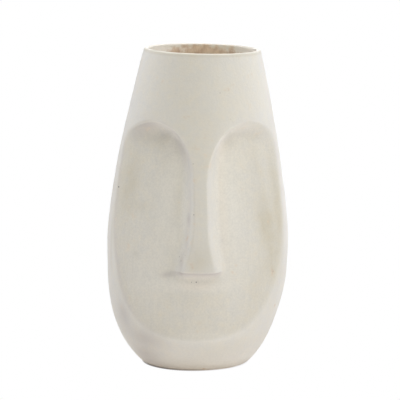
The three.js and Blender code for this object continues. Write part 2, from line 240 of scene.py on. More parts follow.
# Painted shade: patches along the nose's left edge, at its left foot and low on the left, where shade falls;
# the one at 173 mm darkens a nick
PAINTED_SHADE_PATCHES = (
    (-7.5, 192, 3, 22, 0.14),
    (-8.5, 173, 3, 7, 0.4),
    (-9.5, 148, 3, 15, 0.25),
    (-12.5, 126, 3.5, 11, 0.4),
    (-20, 113, 8, 3.5, 0.42),
    (-24.4, 111, 7, 2.8, 0.25),
    (-40, 38, 24, 11, 0.45),
    (-58, 62, 12, 16, 0.35),
    (-45, 18, 18, 9, 0.3),
    (-52, 10, 22, 14, 0.2),
)

# The coat inside the mouth: how bare the lip and the wall below it are, how deep the coat fades out, how much
# more lies at the sides, and how far over the lip the bare paper starts and is full
LIP_BARE = 0.6
DEEP_BARE = 1.6
COAT_REACH = 15
COAT_AT_SIDES = 1.45
LIP_BARE_SPAN = (1 / 2, 5 / 6)

# Chalk coat with its painted light, highlights and shade, the painted contact shadow at the foot, bare paper,
# board and plastic: linear colours
CHALK_COOL = (0.79, 0.754, 0.672)
CHALK_WARM = (0.8, 0.751, 0.643)
CHALK_TAN = (0.66, 0.6, 0.47)
CHALK_PAINTED_LIGHT = (0.86, 0.82, 0.73)
CREAM_AND_PAINTED_LIGHT = (0.92, 0.85, 0.74)
CHALK_WORN = (0.87, 0.83, 0.75)
CHALK_PAINTED_SHADE = (0.53, 0.475, 0.43)
FOOT_SHADOW = (0.12, 0.1, 0.085)
PAPER_PALE = (0.85, 0.74, 0.59)
PAPER_TAN = (0.79, 0.6, 0.42)
PAPER_BROWN = (0.6, 0.42, 0.29)
PINHOLE_DARK = (0.12, 0.09, 0.07)
BOARD_PALE = (0.34, 0.24, 0.13)
BOARD_DARK = (0.2, 0.13, 0.07)
PLASTIC_PALE = (0.77, 0.74, 0.67)
PLASTIC_SCUFFED = (0.62, 0.59, 0.52)

# Sizes of the blotches, marks and fibres in the materials, how far some are stretched, and how deep the
# relief of each surface is
COAT_CLOUD = 55
COAT_PATCH = 16
COAT_BLOT = 6
COAT_STROKE = 3.5
COAT_GRAIN = 2
STROKE_STRETCH = 7
COAT_RELIEF = 0.35
SCRAP_SIZE = 26
SCRAP_WARP = 14
SCRAP_WARP_SCALE = 60
PAPER_STAIN = 14
PAPER_FIBRE = 1.6
PAPER_FIBRE_STRETCH = 3
PAPER_RELIEF = 0.35
BOARD_CLOUD = 20
BOARD_FIBRE = 1.2
BOARD_FIBRE_STRETCH = 5
BOARD_FLECK = 1.5
BOARD_RELIEF = 0.2
PLASTIC_GRAIN = 0.7
PLASTIC_CLOUD = 30
PLASTIC_SCUFF = 1.4
SCUFF_STRETCH = 6
PLASTIC_RELIEF = 0.06

# Studio: camera, soft lights as (name, azimuth, elevation, watts, tint) and floor, in metres. The sensor and
# the lens are in millimetres
CAMERA_DISTANCE = 2.8
CAMERA_ELEVATION = 8.84
CAMERA_SHIFT = (0.00565, 0.0137)
SENSOR_WIDTH = 36
LENS = 226.65
BOX_SIZE = 1.0
BOX_DISTANCE = 1.6
WARM = (1.0, 0.995, 0.9)
PLAIN = (1.0, 1.0, 1.0)
COOL = (0.94, 1.0, 1.15)
SOFT_BOXES = (
    ("front", 0, 10, 1.3, WARM),
    ("front_high", 0, 45, 5.7, WARM),
    ("front_right", 30, 10, 0.7, WARM),
    ("right_front", 60, 10, 1.9, PLAIN),
    ("right_front_high", 60, 45, 3.7, PLAIN),
    ("right_high", 90, 45, 7.2, COOL),
    ("right_rear_high", 120, 45, 3.2, COOL),
    ("right_back_high", 150, 45, 11.2, COOL),
    ("left_top", -90, 70, 5.2, PLAIN),
    ("left_high", -90, 45, 3.0, COOL),
    ("left_rear_high", -120, 45, 11.6, COOL),
)
FLOOR_SIZE = 8
FLOOR_WHITE = 0.85
FLOOR_GLOW = (0.168, 0.141, 0.134)
FLOOR_SHADE = (0.08, 0.068, 0.06)
FLOOR_SHADE_REACH = 0.0015
FLOOR_SHADE_RIGHT = 0.25
FLOOR_SHADE_TURN = (-0.05, 0.03)
FLOOR_SHADE_SAMPLES = 8

# Fineness of the grids. The front's columns lie over the nose, its side, the cheek and the flank, its rows
# over the heel, the chin, the nose's underside, the hollow and the forehead
FRONT_COLUMNS = (12, 32, 64, 30)
NOSE_STRETCH = 0
NOSE_SIDE_STRETCH = 1
FRONT_ROWS = (30, 60, 14, 130, 60)
HOLLOW_STRETCH = 3
FOREHEAD_STRETCH = 4
REAR_COLUMNS = 200
REAR_ROWS = 220
FLANGE_ROWS = 8
HEEL_ROWS = 8
INSIDE_COLUMNS = 120
INSIDE_ROWS = 110
RING_COLUMNS = 320
CORD_ARC_ROWS = 24
CORD_SIDE_ROWS = 6
STRIP_COLUMNS = 25
STRIP_ROWS = 160
BASE_STRIP_ROWS = 10
ROUND_STEPS = 8
CROWDING = 1.5
CREASE_LEAST = 50
CREASE_MOST = 80
OUTLINE_STEPS = 800
HALVINGS = 40
SLOPE_STEP = 0.5
SHARP_EDGE = 50
TINY = 1e-9


# Body

def turn(degrees):
    """Unit vector of (radius, height) that climbs at an angle."""
    return np.array([math.cos(math.radians(degrees)), math.sin(math.radians(degrees))])


def bezier(*points, count=OUTLINE_STEPS):
    """Points along the Bezier curve with the given handles."""
    steps = np.linspace(0, 1, count)[:, None]
    line = [np.array([point], float) for point in points]
    while len(line) > 1:
        line = [start * (1 - steps) + end * steps for start, end in zip(line, line[1:])]
    return line[0]


def body_outline():
    """Half outline of the body as (radius, height): rounded heel, lower and upper wall."""
    foot = np.array([FOOT_RADIUS, 0])
    heel = foot + turn(HEEL_SLOPE) * HEEL_ROUND
    belly = np.array([BELLY_RADIUS, BELLY_HEIGHT])
    mouth = np.array([MOUTH_RADIUS, HEIGHT])
    down = np.array([0, BELLY_REACH_DOWN])
    up = np.array([0, BELLY_REACH_UP])
    return np.vstack([
        bezier(foot - [HEEL_ROUND, 0], foot, heel),
        bezier(heel, heel + turn(HEEL_SLOPE) * HEEL_REACH, belly - down, belly),
        bezier(belly, belly + up, mouth + turn(MOUTH_SLOPE - 90) * MOUTH_REACH, mouth),
    ])


outline = body_outline()
heel_start = FOOT_RADIUS - HEEL_ROUND
heel_top = HEEL_ROUND * math.sin(math.radians(HEEL_SLOPE))
eye_x = EYE_SPACING / 2
eye_half_width = eye_x - BRIDGE_WIDTH / 2
brow_top = EYE_HEIGHT + BROW_RISE
nose_edge = NOSE_HEIGHT + UNDERSIDE_LIFT
nose_foot = nose_edge - UNDERSIDE_RUN
shell_top = HEIGHT - CORD_HEIGHT
flange_radius = heel_start - FOOT_FLANGE
board_bottom = WALL + PASTE
board_top = board_bottom + BOARD_THICKNESS
base_strip_bottom = board_top + PASTE
base_strip_top = base_strip_bottom + BASE_STRIP_WIDTH


def body_radius(z):
    """Outside radius of the plain body at a height."""
    return np.interp(z, outline[:, 1], outline[:, 0])


def inside_radius(z):
    """Inside radius of the plain wall, which is as thick as WALL square to its surface."""
    below = np.maximum(z - SLOPE_STEP, 0)
    above = np.minimum(z + SLOPE_STEP, HEIGHT)
    slope = (body_radius(above) - body_radius(below)) / (above - below)
    return body_radius(z) - WALL * np.hypot(1, slope)


def axis_offset(z):
    """Sideways place of the pot's middle at a height."""
    return AXIS_DRIFT * (z - BELLY_HEIGHT) / HEIGHT


def felt(place, middle, reach):
    """How much of a press or lean is felt at a place: all of it at its middle, fading out from there."""
    return np.exp(-((place - middle) / reach) ** 2)


def pot_point(angle, radius, z):
    """Points of the leaning pot from direction (0 is the face's middle, 90 degrees is +X), radius, height."""
    x = radius * np.sin(angle)
    drop = math.tan(math.radians(LIP_TILT)) * x * (z / HEIGHT) ** 2
    flank = FLANK_PRESS * felt(z, FLANK_HEIGHT, FLANK_SPAN)
    shoulder = SHOULDER_PRESS * felt(z, SHOULDER_HEIGHT, SHOULDER_SPAN)
    press = (flank + shoulder) * np.maximum(x / BELLY_RADIUS, 0) ** 2
    near_nose = felt(z, NOSE_LEAN_HEIGHT, NOSE_LEAN_SPAN) * felt(x, 0, NOSE_LEAN_WIDTH)
    lean = np.where(np.cos(angle) > 0, NOSE_LEAN * near_nose, 0)
    sideways = x + axis_offset(z) - press + lean
    return np.stack(np.broadcast_arrays(sideways, -radius * np.cos(angle), z - drop), -1)


# Face

def soft_positive(value, rounding):
    """The value where it is positive and 0 elsewhere, with the corner between rounded to either side."""
    near = np.clip(value + rounding, 0, 2 * rounding)
    return np.where(value > rounding, value, near ** 2 / (4 * rounding))


def face_centre(z):
    """Forward place of the centre of the arc that the face is planed to."""
    rise = z - CHIN_HEIGHT
    ease = np.where(rise > 0, 1 - np.exp(-np.maximum(rise, 0) / CHIN_EASE), rise / CHIN_EASE)
    depth = CHIN_STEP * ease + math.tan(math.radians(FACE_LEAN)) * rise
    return body_radius(z) - depth - FACE_CURVE


def face_depth(angle, z):
    """How far the planed face lies inside the plain body, less than 0 outside the face."""
    centre = face_centre(z)
    across = centre * np.sin(angle)
    return body_radius(z) - centre * np.cos(angle) - np.sqrt(FACE_CURVE ** 2 - across ** 2)


def crease_angle(z):
    """Direction of the crease where the planed face meets the plain body."""
    radius = body_radius(z)
    centre = face_centre(z)
    cosine = (radius ** 2 + centre ** 2 - FACE_CURVE ** 2) / (2 * radius * centre)
    return np.where(z > CHIN_HEIGHT, np.arccos(np.clip(cosine, -1, 1)), 0)


def nose_half(z):
    """Half width of the nose, which flares towards its tip."""
    flare = np.clip((NOSE_HEIGHT + NOSE_FLARE - z) / NOSE_FLARE, 0, 1)
    return BRIDGE_WIDTH / 2 + (NOSE_WIDTH - BRIDGE_WIDTH) / 2 * flare ** 2


def brow_height(x):
    """Height of the arched brow over a point to the side of the middle."""
    side = np.abs(x) - eye_x
    across = side / np.where(side < 0, eye_half_width, BROW_OUTER)
    return EYE_HEIGHT + BROW_RISE * np.sqrt(np.maximum(1 - across ** 2, 0))


def hollow_reach(x, z):
    """Distance into a hollow from the side of the nose, or from the arched brow above the eye."""
    side = np.abs(x)
    across = (side - eye_x) / eye_half_width
    up = (z - EYE_HEIGHT) / BROW_RISE
    place = np.hypot(across, up)
    spread = np.maximum(np.hypot(across / eye_half_width, up / BROW_RISE), TINY)
    arched = np.where(side >= eye_x, brow_height(x) - z, (1 - place) * place / spread)
    return np.where(z <= EYE_HEIGHT, side - nose_half(z), arched)


def descent(reach, rounding, run, power):
    """Rounded descent from a worn rim into a hollow: 0 on the rim, 1 where it has run out on the floor."""
    share = np.clip(soft_positive(reach, rounding) / run, 0, 1)
    return 1 - (1 - share) ** power


def beside_hollow(x, z):
    """Descent from the brow and the sides of the nose into the hollows."""
    return descent(hollow_reach(x, z), EDGE_ROUND, HOLLOW_ROUND, HOLLOW_POWER)


def hollow_share(angle, z):
    """How much of the planed depth a place has: 0 on the forehead and nose, 1 on the floor of the face."""
    under_nose = descent(nose_edge - z, UNDERSIDE_ROUND, UNDERSIDE_RUN, UNDERSIDE_POWER)
    return 1 - (1 - beside_hollow(body_radius(z) * np.sin(angle), z)) * (1 - under_nose)


def face_dip(angle, z):
    """How far the face sinks into the plain body, with its crease worn round."""
    return np.where(np.abs(angle) < math.pi / 2, soft_positive(face_depth(angle, z), CREASE_ROUND), 0)


def front_radius(angle, z):
    """Outside radius of the front: the forehead and nose keep the plain body, the hollows sink in."""
    return body_radius(z) - face_dip(angle, z) * hollow_share(angle, z)


def front_inside_radius(angle, z):
    """Inside radius of the front, which follows the hollows one wall behind them."""
    fade = 1 - (1 - np.clip((brow_top + WALL - z) / HOLLOW_ROUND, 0, 1)) ** HOLLOW_POWER
    return inside_radius(z) - face_dip(angle, z) * fade


def rear_inside_radius(angle, z):
    """Inside radius of the plain rear, the same in every direction."""
    return inside_radius(z) + 0 * angle


# Unevenness

def lumps(points, shift=0):
    """Unevenness at each point, in millimetres."""
    flat = points.reshape(-1, 3)
    height = np.zeros(len(flat))
    for size, rise in LUMPS:
        places = flat / size + shift
        height += rise * np.array([noise.noise(Vector(place)) for place in places])
    return height.reshape(points.shape[:-1])


def torn(points, shift):
    """How far a torn paper edge strays at each point along it, in millimetres."""
    flat = points.reshape(-1, 3) / TEAR_SIZE + shift
    stray = [noise.fractal(Vector(place), *TEAR_FRACTAL) for place in flat]
    return TEAR * np.reshape(stray, points.shape[:-1])


def pinhole_depth(angle, z):
    """Depth of the pinholes at each place of the front."""
    depth = np.zeros(angle.shape)
    for direction, height, width, darkness in PINHOLES:
        across = body_radius(z) * (angle - math.radians(direction))
        depth += PINHOLE_DEPTH * darkness * np.exp(-(across ** 2 + (z - height) ** 2) / (width / 2) ** 2)
    return depth


def rough_inside(radius_at, angle, z):
    """Radius of the rough pasted inside, which keeps its plain size at the floor and under the lip."""
    plain = radius_at(angle, z)
    rough = INSIDE_ROUGHER * np.abs(lumps(pot_point(angle, plain, z), INSIDE_SHIFT))
    fade = np.clip((z - board_top) / WALL, 0, 1) * np.clip((shell_top - z) / WALL, 0, 1)
    return plain - rough * fade


# Grids and meshes

def spaced(counts):
    """For each grid line the stretch it lies in and its share of the way through that stretch."""
    stretch = np.concatenate([np.full(count, index) for index, count in enumerate(counts)])
    share = np.concatenate([np.arange(count) / count for count in counts])
    return np.append(stretch, len(counts) - 1), np.append(share, 1)


def first_where(low, high, holds):
    """Lowest values between two limits from which on a test holds, found by halving."""
    for _ in range(HALVINGS):
        middle = (low + high) / 2
        yes = holds(middle)
        low = np.where(yes, low, middle)
        high = np.where(yes, middle, high)
    return high


def half_front_angles(z):
    """Directions of the half front's columns where they pass the heights z, whose last axis is the columns.
    They follow the edge of the nose, the foot of its rounded side and the crease."""
    stretch, share = spaced(FRONT_COLUMNS)
    share = np.where(stretch == NOSE_STRETCH, 1 - (1 - share) ** CROWDING, share)
    share = np.where(stretch == NOSE_SIDE_STRETCH, share ** CROWDING, share)
    face_radius = body_radius(np.clip(z, CHIN_HEIGHT, brow_top))
    edge_x = nose_half(np.maximum(z, nose_edge))
    knots = [
        np.zeros(z.shape),
        np.arcsin(edge_x / face_radius),
        np.arcsin((edge_x + HOLLOW_ROUND) / face_radius),
        np.clip(crease_angle(z), math.radians(CREASE_LEAST), math.radians(CREASE_MOST)),
        np.full(z.shape, math.pi / 2),
    ]
    low = np.choose(stretch, knots[:-1])
    high = np.choose(stretch, knots[1:])
    return low + (high - low) * share


def half_front_heights():
    """Heights of the half front's grid. Its rows follow the chin, the nose's underside and the brow."""
    flat = np.zeros(sum(FRONT_COLUMNS) + 1)
    chin = first_where(flat + CHIN_HEIGHT, flat + nose_foot, lambda z: (
        crease_angle(z) >= np.minimum(half_front_angles(z), math.radians(CREASE_LEAST))))
    brow = first_where(flat + EYE_HEIGHT, flat + brow_top, lambda z: (
        z >= brow_height(body_radius(z) * np.sin(half_front_angles(z)))))
    knots = [flat + heel_top, chin, flat + nose_foot, flat + nose_edge, brow, flat + shell_top]
    stretch, share = spaced(FRONT_ROWS)
    share = np.where(stretch == HOLLOW_STRETCH, 1 - (1 - share) ** CROWDING, share)
    share = np.where(stretch == FOREHEAD_STRETCH, share ** CROWDING, share)
    low = np.array(knots)[stretch]
    high = np.array(knots)[stretch + 1]
    return low + (high - low) * share[:, None]


def foot_rows():
    """Rows of (radius, height) under the foot and round the heel, up to the start of the wall."""
    flange = [(radius, 0) for radius in np.linspace(flange_radius, heel_start, FLANGE_ROWS, endpoint=False)]
    heel = outline[:OUTLINE_STEPS][:: OUTLINE_STEPS // HEEL_ROWS]
    return np.vstack([flange, heel])


def grid_faces(rows, columns, start, inward):
    """Quads over a grid of points whose first one has the given number."""
    corner = start + np.arange(rows * columns).reshape(rows, columns)
    low, high = corner[:-1], corner[1:]
    quads = np.stack([low[:, :-1], low[:, 1:], high[:, 1:], high[:, :-1]], -1).reshape(-1, 4)
    return quads[:, ::-1] if inward else quads


def grid_border(rows, columns, start):
    """The four border lines of a grid, in the order in which they run round it."""
    corner = start + np.arange(rows * columns).reshape(rows, columns)
    return corner[0], corner[:, -1], corner[-1, ::-1], corner[::-1, 0]


def bridge(points, first, second):
    """Triangles between two border lines that run side by side, always across the shorter way."""
    faces = []
    a = b = 0
    while a + 1 < len(first) or b + 1 < len(second):
        way_a = math.inf
        way_b = math.inf
        if a + 1 < len(first):
            way_a = np.linalg.norm(points[first[a + 1]] - points[second[b]])
        if b + 1 < len(second):
            way_b = np.linalg.norm(points[first[a]] - points[second[b + 1]])
        if way_a <= way_b:
            faces.append((first[a + 1], first[a], second[b]))
            a += 1
        else:
            faces.append((second[b], second[b + 1], first[a]))
            b += 1
    return faces


def new_piece(node, points, faces, material, looks):
    """A smooth-shaded mesh object in metres that stands for a node, with named looks on its points."""
    mesh = bpy.data.meshes.new(f"{node}_fine")
    mesh.from_pydata((points * METRE).tolist(), [], [tuple(int(i) for i in face) for face in faces])
    mesh.materials.append(material)
    for name, values in looks.items():
        layer = mesh.attributes.new(name, "FLOAT", "POINT")
        layer.data.foreach_set("value", np.ascontiguousarray(np.ravel(values), np.float32))
    mesh.shade_smooth()
    mesh.set_sharp_from_angle(angle=math.radians(SHARP_EDGE))
    piece = bpy.data.objects.new(f"{node}_fine", mesh)
    bpy.context.scene.collection.objects.link(piece)
    return piece


def skin_piece(node, outer, inner, material, outer_looks, inner_looks):
    """A closed skin between an outer and an inner grid of points, each with its looks."""
    points = np.vstack([outer.reshape(-1, 3), inner.reshape(-1, 3)])
    count = outer.shape[0] * outer.shape[1]
    faces = [*grid_faces(*outer.shape[:2], 0, False), *grid_faces(*inner.shape[:2], count, True)]
    outer_border = grid_border(*outer.shape[:2], 0)
    inner_border = grid_border(*inner.shape[:2], count)
    for first, second in zip(outer_border, inner_border):
        faces.extend(bridge(points, first, second))
    looks = {}
    for name in {**outer_looks, **inner_looks}:
        outside = outer_looks.get(name, np.zeros(outer.shape[:2]))
        within = inner_looks.get(name, np.zeros(inner.shape[:2]))
        looks[name] = np.concatenate([np.ravel(outside), np.ravel(within)])
    return new_piece(node, points, faces, material, looks)


def ring_angles():
    """Directions of the columns of a full ring."""
    return np.linspace(0, 2 * math.pi, RING_COLUMNS, endpoint=False)


def ring_faces(rows, columns, closed):
    """Quads round a ring, whose rows run out along its underside, up, and back over its top."""
    corner = np.arange(rows * columns).reshape(rows, columns)
    corner = np.hstack([corner, corner[:, :1]])
    corner = np.vstack([corner, corner[:1]]) if closed else corner
    low, high = corner[:-1], corner[1:]
    return np.stack([low[:, :-1], low[:, 1:], high[:, 1:], high[:, :-1]], -1).reshape(-1, 4)


def turned_piece(node, line, place, material):
    """A disc or cup turned from a line of (radius, height) that starts and ends on the axis."""
    rims = place(ring_angles(), line[1:-1, :1], line[1:-1, 1:])
    poles = place(np.zeros(1), line[[0, -1], :1], line[[0, -1], 1:])
    rows, columns = rims.shape[:2]
    faces = list(ring_faces(rows, columns, False))
    under, over = rows * columns, rows * columns + 1
    last = (rows - 1) * columns
    for column in range(columns):
        after = (column + 1) % columns
        faces.append((under, after, column))
        faces.append((over, last + column, last + after))
    points = np.vstack([rims.reshape(-1, 3), poles.reshape(-1, 3)])
    return new_piece(node, points, faces, material, {})


def rounded_line(*corners):
    """A line through corners of (radius, height, rounding), with the corners between its ends rounded off."""
    places = [np.array(corner[:2], float) for corner in corners]
    line = [places[:1]]
    for before, corner, after, (_, _, rounding) in zip(places, places[1:], places[2:], corners[1:]):
        start = corner + (before - corner) * rounding / np.linalg.norm(before - corner)
        end = corner + (after - corner) * rounding / np.linalg.norm(after - corner)
        line.append(bezier(start, corner, end, count=ROUND_STEPS))
    return np.vstack([*line, places[-1:]])


# Pieces

def inner_skin(facing, radius_at):
    """Inner grid of one half, from the flange's inner edge up to the lip, and how bare of the coat it is."""
    angle = facing + np.linspace(-math.pi / 2, math.pi / 2, INSIDE_COLUMNS)
    share = 1 - (1 - np.linspace(0, 1, INSIDE_ROWS)[:, None]) ** CROWDING
    z = WALL + (shell_top - WALL) * share
    points = pot_point(angle, rough_inside(radius_at, angle, z), z)
    flange = pot_point(angle, np.array([[flange_radius]]), np.array([[float(WALL)]]))
    bare = np.vstack([np.ones(angle.shape), inside_bare(angle, z)])
    # The coat inside is cream, partly its own colour and partly painted light
    return np.vstack([flange, points]), {"bare": bare, "cream_and_painted_light": np.ones(bare.shape)}


def inside_bare(angle, z):
    """How bare of the coat the inside is: the coat was brushed a little way in, further at the sides."""
    deep = np.clip((HEIGHT - z) / COAT_REACH, 0, 1)
    return LIP_BARE + (DEEP_BARE - LIP_BARE) * deep - COAT_AT_SIDES * np.sin(angle) ** 2


def foot_looks(angle, z):
    """Where the coat is rubbed off along the foot's edge, and the painted contact shadow there, darker on the
    left.
    """
    bare = np.clip(FOOT_BARE_FULL - z / FOOT_BARE_HEIGHT, 0, 1) + 0 * angle
    leftward = np.clip(FOOT_SHADOW_MIDDLE - FOOT_SHADOW_LEFT * np.sin(angle), 0, 1)
    foot_shadow = np.clip(FOOT_SHADOW_FULL - z / FOOT_SHADOW_HEIGHT, 0, 1) * leftward
    return {"bare": bare, "foot_shadow": foot_shadow}


def below_and_above(below, above, below_shape, above_shape):
    """Looks of two grids that are stacked, where a look that one of them lacks is 0 there."""
    looks = {}
    for name in {**below, **above}:
        low = below.get(name, np.zeros(below_shape))
        looks[name] = np.vstack([low, above.get(name, np.zeros(above_shape))])
    return looks


def front_shell(node, material):
    """Moulded half with the face."""
    half_z = half_front_heights()
    half_angle = half_front_angles(half_z)
    z = np.hstack([half_z[:, :0:-1], half_z])
    angle = np.hstack([-half_angle[:, :0:-1], half_angle])
    foot = foot_rows()
    foot_angle = np.tile(angle[0], (len(foot), 1))
    radius = front_radius(angle, z)
    radius = radius + lumps(pot_point(angle, radius, z)) - pinhole_depth(angle, z)
    under = pot_point(foot_angle, foot[:, :1], foot[:, 1:])
    outer = np.vstack([under, pot_point(angle, radius, z)])
    rubbed = foot_looks(foot_angle, foot[:, 1:])
    looks = below_and_above(rubbed, face_looks(angle, z), under.shape[:2], z.shape)
    inner, inner_looks = inner_skin(0, front_inside_radius)
    return skin_piece(node, outer, inner, material, looks, inner_looks)


def ramp(value, start, full):
    """Share that rises from 0 where the value reaches the start to 1 where it is full."""
    return np.clip((value - start) / (full - start), 0, 1)


def soft_patches(angle, z, places):
    """Sum of soft patches."""
    total = np.zeros(angle.shape)
    for direction, height, half_width, half_height, strength in places:
        across = body_radius(z) * (angle - math.radians(direction)) / half_width
        total += strength * np.exp(-across ** 2 - ((z - height) / half_height) ** 2)
    return total


def brow_shade(angle, z):
    """Painted shade that starts sharply at the left brow's edge and fades down into the hollow."""
    reach = np.maximum(hollow_reach(body_radius(z) * np.sin(angle), z), 0)
    across = body_radius(z) * (angle - math.radians(BROW_SHADE_DIRECTION)) / BROW_SHADE_WIDTH
    profile = np.clip(reach / BROW_SHADE_START, 0, 1) * np.exp(-(reach / BROW_SHADE_REACH) ** 2)
    return np.where(z > EYE_HEIGHT, BROW_SHADE * profile * np.exp(-across ** 2), 0)


def underside_shade(angle, z):
    """Painted shade under the nose, darkest just under its edge."""
    fade = np.where(z < nose_edge, np.clip((z - nose_foot) / UNDERSIDE_RUN, 0, 1) ** UNDERSIDE_FADE, 0)
    return UNDERSIDE_SHADE * fade * (1 - beside_hollow(body_radius(z) * np.sin(angle), z))


def face_looks(angle, z):
    """Where the face is hollow, where its coat is washed with tan or worn, and where light, highlights and
    shade are painted on it.
    """
    depth = face_depth(angle, z)
    share = hollow_share(angle, z)
    hollow = np.clip(depth / HOLLOW_START, 0, 1) * share
    behind = WASH_AT_CREASE * hollow * np.exp(-np.maximum(depth, 0) / WASH_REACH)
    left = ramp(-np.sin(angle), *CREASE_SHADE_SIDE)
    line = CREASE_SHADE * left * np.exp(-(depth / CREASE_SHADE_REACH - 1) ** 2) * share
    shade = brow_shade(angle, z) + underside_shade(angle, z) + line + soft_patches(angle, z, PAINTED_SHADE_PATCHES)
    worn = np.exp(-(angle / math.radians(WORN_SPREAD)) ** 2)
    return {
        "hollow": hollow,
        "painted_light": np.clip(soft_patches(angle, z, PAINTED_LIGHT_PATCHES), 0, 1),
        "cream_and_painted_light": soft_patches(angle, z, HIGHLIGHT_PATCHES),
        "wash": np.clip(behind + soft_patches(angle, z, TAN_PATCHES), 0, 1),
        "shade": np.clip(shade, 0, 1),
        "wear": np.exp(-(depth / WORN_REACH) ** 2) * share * worn,
    }


def rear_shell(node, material):
    """Plain moulded half."""
    angle = np.linspace(math.pi / 2, 3 * math.pi / 2, REAR_COLUMNS)
    z = np.linspace(heel_top, shell_top, REAR_ROWS)[:, None]
    foot = foot_rows()
    radius = body_radius(z) + lumps(pot_point(angle, body_radius(z), z))
    under = pot_point(angle, foot[:, :1], foot[:, 1:])
    outer = np.vstack([under, pot_point(angle, radius, z)])
    looks = below_and_above(foot_looks(angle, foot[:, 1:]), {}, under.shape[:2], radius.shape)
    inner, inner_looks = inner_skin(math.pi, rear_inside_radius)
    return skin_piece(node, outer, inner, material, looks, inner_looks)


def rim_cord(node, material):
    """Rolled paper cord that caps both halves and forms the rounded lip."""
    half_wall = (body_radius(shell_top) - inside_radius(shell_top)) / 2
    spring = HEIGHT - half_wall
    arc = np.linspace(0, math.pi, CORD_ARC_ROWS)
    arc_z = spring + half_wall * np.sin(arc) ** LIP_SQUARE
    across = np.sign(np.cos(arc)) * np.abs(np.cos(arc)) ** LIP_SQUARE
    arc_radius = (body_radius(arc_z) + inside_radius(arc_z)) / 2 + half_wall * across
    rise = np.linspace(shell_top, spring, CORD_SIDE_ROWS, endpoint=False)
    z = np.concatenate([rise, arc_z, rise[::-1]])[:, None]
    radius = np.concatenate([body_radius(rise), arc_radius, inside_radius(rise)[::-1]])[:, None]
    angle = ring_angles()
    radius = radius + lumps(pot_point(angle, radius, z))
    grid = pot_point(angle, radius, z)
    rows, columns = grid.shape[:2]
    inward = np.concatenate([0 * rise, arc / math.pi, 0 * rise + 1])[:, None]
    looks = {
        "wear": LIP_WORN * np.exp(-((HEIGHT - z) / LIP_WORN_REACH) ** 2) + 0 * angle,
        "bare": inside_bare(angle, z) * ramp(inward, *LIP_BARE_SPAN),
        "cream_and_painted_light": inward + 0 * angle,
        # Tan wash on the cord's outside, strongest at the lip's top: partly real wash, partly painted shade
        "wash": CORD_TAN_AND_SHADE * (1 - inward) * (z - shell_top) / CORD_HEIGHT + 0 * angle,
    }
    return new_piece(node, grid.reshape(-1, 3), ring_faces(rows, columns, True), material, looks)


def seam_strip(node, material, side):
    """Torn paper strip pasted over one seam inside, on the right (side 1) or on the left (side -1)."""
    share = np.linspace(0, 1, STRIP_ROWS)[:, None]
    across = np.linspace(-1, 1, STRIP_COLUMNS)
    plain_z = SEAM_STRIP_BOTTOM + (SEAM_STRIP_TOP - SEAM_STRIP_BOTTOM) * share
    edge_turn = side * math.pi / 2 + across * SEAM_STRIP_WIDTH / 2 / inside_radius(plain_z)
    edge_points = pot_point(edge_turn, inside_radius(plain_z), plain_z)
    ends = np.abs(2 * share - 1) ** STRIP_END_POWER
    z = plain_z + ends * torn(edge_points, side)
    half_width = SEAM_STRIP_WIDTH / 2 + torn(edge_points[:, [0, -1]], 3 * side)[:, (across > 0).astype(int)]
    angle = side * math.pi / 2 + across * half_width / inside_radius(z)
    wall = rough_inside(rear_inside_radius, angle, z)
    from_end = np.minimum(plain_z - SEAM_STRIP_BOTTOM, SEAM_STRIP_TOP - plain_z)
    from_edge = (1 - np.abs(across)) * SEAM_STRIP_WIDTH / 2
    thick = STRIP_THICKNESS * np.clip(np.minimum(from_end, from_edge) / STRIP_FRAY, STRIP_EDGE, 1)
    pasted = pot_point(angle, wall + STRIP_TUCK, z)
    return skin_piece(node, pasted, pot_point(angle, wall - thick, z), material, {}, {})


def seam_strip_left(node, material):
    """Strip over the left seam."""
    return seam_strip(node, material, -1)


def seam_strip_right(node, material):
    """Strip over the right seam."""
    return seam_strip(node, material, 1)


def base_board(node, material):
    """Pressed board floor, cut on a slant to fit inside the wall."""
    under = inside_radius(board_bottom) - PASTE
    over = inside_radius(board_top) - PASTE
    line = rounded_line(
        (0, board_bottom, 0),
        (under, board_bottom, BOARD_ROUND),
        (over, board_top, BOARD_ROUND),
        (0, board_top, 0),
    )
    return turned_piece(node, line, pot_point, material)


def base_strip(node, material):
    """Torn paper strip folded into the corner between the floor and the wall."""
    angle = ring_angles()
    corner = inside_radius(base_strip_bottom) - PASTE
    ring = pot_point(angle, corner, base_strip_bottom)
    toe = corner - BASE_STRIP_WIDTH + torn(ring, 1)
    top = base_strip_top + torn(ring, 2)
    share = np.linspace(0, 1, BASE_STRIP_ROWS)[:, None]
    left = 1 - share
    wall_z = base_strip_bottom + (top - base_strip_bottom) * share
    wall = inside_radius(wall_z) - PASTE
    fold = STRIP_THICKNESS * np.clip(4 * share * left + STRIP_EDGE, 0, 1)
    inner_radius = wall[-1] * left ** 2 + corner * 2 * left * share + toe * share ** 2 - fold
    inner_z = base_strip_bottom + (top - base_strip_bottom) * left ** 2 + fold
    radius = np.vstack([toe + (corner - toe) * share[:-1], wall, inner_radius])
    z = np.vstack([np.full((BASE_STRIP_ROWS - 1, RING_COLUMNS), base_strip_bottom), wall_z, inner_z])
    grid = pot_point(angle, radius, z)
    return new_piece(node, grid.reshape(-1, 3), ring_faces(*grid.shape[:2], True), material, {})


